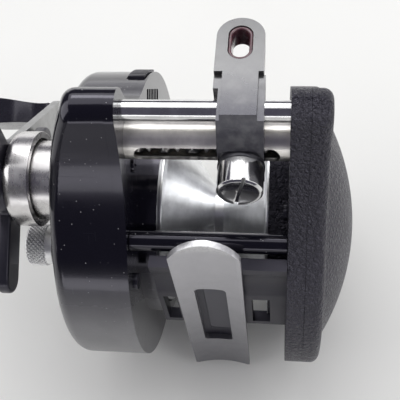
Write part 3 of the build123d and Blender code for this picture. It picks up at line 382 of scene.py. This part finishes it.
ceramic = Finish("ruby_ceramic", Coat_Weight=0.6, Coat_Roughness=0.06)
ceramic.set(Subsurface_Weight=0.15, Subsurface_Scale=1.0 * MM)
tone = ceramic.noise(0.9, 3.0, 0.6)
ceramic.set(Base_Color=ceramic.blend(tone, (0.045, 0.016, 0.024, 1.0), (0.16, 0.07, 0.085, 1.0)))
ceramic.set(Roughness=0.2 + tone * 0.15, Normal=ceramic.bump(ceramic.noise(3.0), 0.02, 0.25))
print("mouldings ready")

# %% [markdown]
# ## Refining a CAD shape
# A CAD solid has knife-sharp edges, and real ones never do: a small rounding along every edge
# catches the light and makes an object look solid. `refine` copies a node's mesh, joins its
# doubled points, melts flat triangles together, rounds each edge sharper than 40 degrees, and
# shades it smooth except where an edge is still sharp.

# %% Putting a piece on its body
NODE_BODY = {node: body for body, nodes in frame["record"]["behaviour"]["bodies"].items() for node in nodes}
NODE_SLOT = {part["node"]: part["material_slot"] for part in frame["record"]["subparts"]}


def link(name, mesh, finish, body, node=None, slot=None):
    """A new piece that rides on a body and, if a node is named, stands for it."""
    piece = bpy.data.objects.new(name, mesh)
    bpy.context.scene.collection.objects.link(piece)
    mesh.materials.clear()
    mesh.materials.append(finish.material)
    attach(piece, body)
    if node:
        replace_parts(piece, node)
        slot = slot or NODE_SLOT[node]
    return piece


def tidy(mesh, sharp=42.0):
    """Consistent normals, smooth shading, and sharp edges where faces meet steeply."""
    shape = bmesh.new()
    shape.from_mesh(mesh)
    bmesh.ops.recalc_face_normals(shape, faces=shape.faces)
    for face in shape.faces:
        face.smooth = True
    for edge in shape.edges:
        edge.smooth = len(edge.link_faces) == 2 and edge.calc_face_angle(0) < math.radians(sharp)
    shape.to_mesh(mesh)
    shape.free()


print("nodes on bodies:", len(NODE_BODY))

# %% [markdown]
# A Bevel modifier rounds the edges. Its result is taken as a new mesh, so nothing is left to
# evaluate later, and a Weighted Normal modifier keeps the large flat faces flat to the eye.

# %% Rounding a copy
def rounded(mesh, width, segments=2, angle=40.0):
    """Bevels a mesh's sharp edges and weights its normals; width is in millimetres."""
    stand_in = bpy.data.objects.new("bench", mesh)
    bpy.context.scene.collection.objects.link(stand_in)
    if width:
        bevel = stand_in.modifiers.new("edge", "BEVEL")
        bevel.width, bevel.segments = width * MM, segments
        bevel.limit_method, bevel.angle_limit = "ANGLE", math.radians(angle)
        bevel.use_clamp_overlap = True
    done = bpy.data.meshes.new_from_object(stand_in.evaluated_get(bpy.context.evaluated_depsgraph_get()))
    tidy(done)
    stand_in.modifiers.clear()
    stand_in.data = done
    weight = stand_in.modifiers.new("weight", "WEIGHTED_NORMAL")
    weight.keep_sharp = True
    final = bpy.data.meshes.new_from_object(stand_in.evaluated_get(bpy.context.evaluated_depsgraph_get()))
    bpy.data.objects.remove(stand_in)
    return final


def welded(node):
    """A clean copy of a CAD node's mesh."""
    mesh = bpy.data.meshes.new(node + "_copy")
    shape = bmesh.new()
    shape.from_mesh(frame["nodes"][node].data)
    bmesh.ops.remove_doubles(shape, verts=shape.verts, dist=2e-6)
    bmesh.ops.dissolve_limit(shape, angle_limit=math.radians(0.4), verts=shape.verts, edges=shape.edges)
    shape.to_mesh(mesh)
    shape.free()
    return mesh


def refine(node, finish, width=0.15, segments=2):
    """The node's shape with rounded edges and a finish, standing for the node."""
    mesh = rounded(welded(node), width, segments)
    return link(node + "_finished", mesh, finish, NODE_BODY[node], node)


print("a bevelled copy can now stand for any node")

# %% [markdown]
# ## The frame
# Side plates, covers, pillars, base and foot make the body that everything else turns in.

# %% Frame pieces
refine("handle_side_plate", gloss, 0.25, 3)
refine("handle_side_cover", gloss, 0.2)
refine("palm_side_plate", grain, 0.12)
refine("palm_side_cover", grain, 0.12)
refine("base_plate", base_black, 0.25)
refine("seat_pad", pad_dark, 0.2)
refine("reel_foot", gunmetal, 0.25, 3)
refine("brake_plate", base_black, 0.2)
for pillar in ("front_pillar", "rear_pillar"):
    refine(pillar, gloss, 0.2)
refine("guide_bar", chrome, 0.2)
refine("level_wind_tube", nickel, 0.12)
refine("shaft_housing", satin_nickel, 0.25)
print("frame ready")

# %% [markdown]
# ## Moving pieces
# The spool, the line guide, the crank and the buttons ride on their own bodies, so that they move
# with the joints.

# %% Moving pieces
refine("spool", polished, 0.12)
refine("guide_carriage", carriage_grey, 0.35, 3)
refine("guide_ring", ceramic, 0.3, 3)
refine("pawl_cap", chrome, 0.18, 3)
refine("hub_sleeve", satin_nickel, 0.2)
refine("star_drag", satin_black, 0.6, 3)
refine("handle_arm", satin, 0.3, 3)
refine("handle_nut", chrome, 0.2)
refine("arm_spacer", chrome, 0.1)
for knob in ("upper_handle_knob", "lower_handle_knob"):
    refine(knob, knob_black, 0.8, 3)
refine("release_button", satin_black, 0.12)
refine("plate_screws", satin_black, 0.15)
refine("foot_screws", steel, 0.1)
print("moving pieces ready")

# %% [markdown]
# ## The worm
# The worm has two crossed helical grooves, one right-handed and one left-handed. Its radius at any
# point depends only on how far along the axis the nearest groove is: a right-hand groove of pitch p
# passes through x = p * turn, a left-hand one through x = -p * turn. A grid of rings and spokes
# with that radius gives the whole surface.

# %% Worm
def ring_grid(name, stations, spokes, middle, radius_at):
    """A closed surface of revolution along X whose radius may vary with x and turn."""
    points, faces = [], []
    for station, x in enumerate(stations):
        for spoke in range(spokes):
            turn = spoke / spokes
            radius = radius_at(station, x, turn)
            y = middle[0] + radius * math.cos(turn * math.tau)
            z = middle[1] + radius * math.sin(turn * math.tau)
            points.append((x * MM, y * MM, z * MM))
    for station in range(len(stations) - 1):
        for spoke in range(spokes):
            first, second = station * spokes + spoke, station * spokes + (spoke + 1) % spokes
            faces.append((first, second, second + spokes, first + spokes))
    faces.append(tuple(range(spokes)))
    faces.append(tuple(range(len(points) - 1, len(points) - spokes - 1, -1)))
    mesh = bpy.data.meshes.new(name)
    mesh.from_pydata(points, [], faces)
    return mesh


def nearest_groove(x, turn, pitch):
    """Distance along X to the nearest right-hand or left-hand groove."""
    gaps = []
    for hand in (1, -1):
        phase = (x - hand * pitch * turn) / pitch
        gaps.append(abs(phase - round(phase)) * pitch)
    return min(gaps)


worm_low, worm_high = [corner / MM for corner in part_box("worm_shaft")]
worm_middle = ((worm_low.y + worm_high.y) / 2, (worm_low.z + worm_high.z) / 2)
WORM_R, WORM_HALF, JOURNAL_R, PITCH = (worm_high.y - worm_low.y) / 2, 13.4, 1.0, 5.2
threaded = [-WORM_HALF + 0.16 * i for i in range(int(2 * WORM_HALF / 0.16) + 1)]
stations = [worm_low.x, -WORM_HALF] + threaded + [WORM_HALF, worm_high.x]
ends = {0: JOURNAL_R, 1: JOURNAL_R, len(stations) - 2: JOURNAL_R, len(stations) - 1: JOURNAL_R}


def worm_radius(station, x, turn):
    if station in ends:
        return ends[station]
    cut = 1 - min(1.0, (nearest_groove(x, turn, PITCH) / 0.95) ** 2)
    return WORM_R - 0.75 * math.sqrt(cut)


worm = ring_grid("worm", stations, 96, worm_middle, worm_radius)
tidy(worm, 50)
link("crossed_worm", worm, steel, NODE_BODY["worm_shaft"], "worm_shaft")
print("worm faces", len(worm.polygons))

# %% [markdown]
# ## The brake knob
# Its grip is knurled: two crossed sets of fine helical cuts leave a field of small diamonds. The
# same ring grid serves, with many more spokes. The cuts fade out at the two chamfered ends.

# %% Brake knob
knob_low, knob_high = [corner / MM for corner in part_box("brake_knob")]
knob_middle = ((knob_low.y + knob_high.y) / 2, (knob_low.z + knob_high.z) / 2)
GRIP_R, GRIP_LENGTH, CHAMFER, DIAMONDS = (knob_high.y - knob_low.y) / 2, 4.4, 0.45, 30
grip_end = knob_low.x + GRIP_LENGTH
COLLAR_R, COLLAR_END, SPINDLE_R = GRIP_R - 0.4, knob_low.x + GRIP_LENGTH + 1.5, 1.2


def diamond(x, turn):
    """0 on a cut, 1 on top of a diamond."""
    along = (x - knob_low.x) / (math.tau * GRIP_R / DIAMONDS)
    first = abs(math.sin(math.pi * (turn * DIAMONDS + along)))
    second = abs(math.sin(math.pi * (turn * DIAMONDS - along)))
    return min(first, second) ** 0.8


def knob_radius(station, x, turn):
    if station == 0:
        return GRIP_R - CHAMFER - 0.25
    if x > COLLAR_END or station == len(knob_stations) - 2:
        return SPINDLE_R
    if x > grip_end or station == grip_steps + 2:
        return COLLAR_R
    inset = min(x - knob_low.x, grip_end - x)
    edge = max(0.0, CHAMFER - inset)
    fade = min(1.0, inset / 0.5)
    return GRIP_R - edge - 0.42 * fade * (1 - diamond(x, turn))


grip_steps = 44
LIP = 0.02  # the flat end's rim stands this far in from its middle
grip = [knob_low.x + LIP + (GRIP_LENGTH - LIP) * i / grip_steps for i in range(grip_steps + 1)]
knob_stations = [knob_low.x] + grip
knob_stations += [grip_end, COLLAR_END, COLLAR_END, knob_high.x]
knob = ring_grid("brake_knob", knob_stations, 360, knob_middle, knob_radius)
tidy(knob, 50)
link("knurled_knob", knob, silver, NODE_BODY["brake_knob"], "brake_knob")
print("knob faces", len(knob.polygons))

# %% [markdown]
# ## Inner pieces
# Gears, bearings, shafts and screws inside the covers keep the mesh of the CAD model and only get
# a finish.

# %% Inner pieces keep their CAD mesh
INNER = {"screw_steel": steel, "brass": brass, "knob_black": knob_black, "drag_fibre": fibre}
shown = {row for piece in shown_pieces() if "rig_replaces" in piece for row in piece["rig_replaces"]}
for node, thing in frame["nodes"].items():
    if node in shown:
        continue
    finish = INNER.get(NODE_SLOT[node], steel)
    for index in range(max(1, len(thing.data.materials))):
        if index < len(thing.data.materials):
            thing.data.materials[index] = finish.material
        else:
            thing.data.materials.append(finish.material)
print("nodes with their own mesh:", len(frame["nodes"]) - len(shown))

# %% [markdown]
# ## Table and light
# The reel lies with its back on a pale table. One small bright softbox above gives the narrow
# highlights, and two large dim ones left and right wrap the plated parts. The world is pale only
# where the camera sees it directly, so that dark gaps between the lamps keep their contrast.

# %% Table and lights
table_y = max(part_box("handle_side_cover")[1].y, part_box("reel_foot")[1].y) + 0.4 * MM
corners = [(-1.2, table_y, -1.2), (1.2, table_y, -1.2), (1.2, table_y, 1.2), (-1.2, table_y, 1.2)]
table_mesh = bpy.data.meshes.new("table")
table_mesh.from_pydata(corners, [], [(0, 1, 2, 3)])
table = bpy.data.objects.new("table", table_mesh)
bpy.context.scene.collection.objects.link(table)
paper = Finish("pale_paper", Specular_IOR_Level=0.2)
CREAM = (1.0, 1.0, 0.965)
paper.set(Base_Color=paper.blend(paper.noise(0.02, 2.0), shade(0.80, CREAM), shade(0.84, CREAM)))
paper.set(Roughness=0.8)
see_through = paper.node("ShaderNodeBsdfTransparent")
facing = paper.node("ShaderNodeNewGeometry", out="Backfacing")
solid = Wire(paper, paper.shader.outputs[0])
mixer = paper.node("ShaderNodeMixShader", {}, {0: facing, 1: solid, 2: see_through})
surface = [n for n in paper.tree.nodes if n.type == "OUTPUT_MATERIAL"][0].inputs[0]
paper.tree.links.new(mixer.socket, surface)
table_mesh.materials.append(paper.material)


def lamp(name, place, aim, size, power, tint=(1.0, 1.0, 1.0)):
    """A soft rectangular lamp that points at a spot; places in millimetres."""
    data = bpy.data.lights.new(name, "AREA")
    data.shape, data.size, data.size_y = "RECTANGLE", size[0] * MM, size[1] * MM
    data.energy, data.color = power, tint
    made = bpy.data.objects.new(name, data)
    made.location = Vector(place) * MM
    made.rotation_mode = "QUATERNION"
    made.rotation_quaternion = (Vector(aim) * MM - made.location).to_track_quat("-Z", "Y")
    bpy.context.scene.collection.objects.link(made)
    return made


lamp("key_softbox", (-45, -385, 235), (0, 0, 0), (300, 110), 0.4)
lamp("overhead_panel", (0, -460, 215), (0, 0, 0), (800, 560), 2.05)
lamp("top_strip", (0, 0, 420), (0, -30, 0), (700, 130), 0.35)
lamp("left_softbox", (-450, -250, -60), (0, 0, 0), (500, 460), 1.25)
lamp("right_softbox", (450, -250, -60), (0, 0, 0), (500, 460), 1.6)
lamp("low_softbox", (0, -30, -520), (0, -20, 0), (700, 90), 0.4)
world = bpy.data.worlds.new("studio")
world.use_nodes = True
bpy.context.scene.world = world
sky = world.node_tree
seen = sky.nodes["Background"]
seen.inputs["Color"].default_value = (0.82, 0.83, 0.86, 1.0)
ambient = sky.nodes.new("ShaderNodeBackground")
ambient.inputs["Color"].default_value = (0.9, 0.86, 1.15, 1.0)
ambient.inputs["Strength"].default_value = 0.1
path, choice = sky.nodes.new("ShaderNodeLightPath"), sky.nodes.new("ShaderNodeMixShader")
sky.links.new(path.outputs["Is Camera Ray"], choice.inputs[0])
sky.links.new(ambient.outputs[0], choice.inputs[1])
sky.links.new(seen.outputs[0], choice.inputs[2])
sky.links.new(choice.outputs[0], sky.nodes["World Output"].inputs["Surface"])

# %% [markdown]
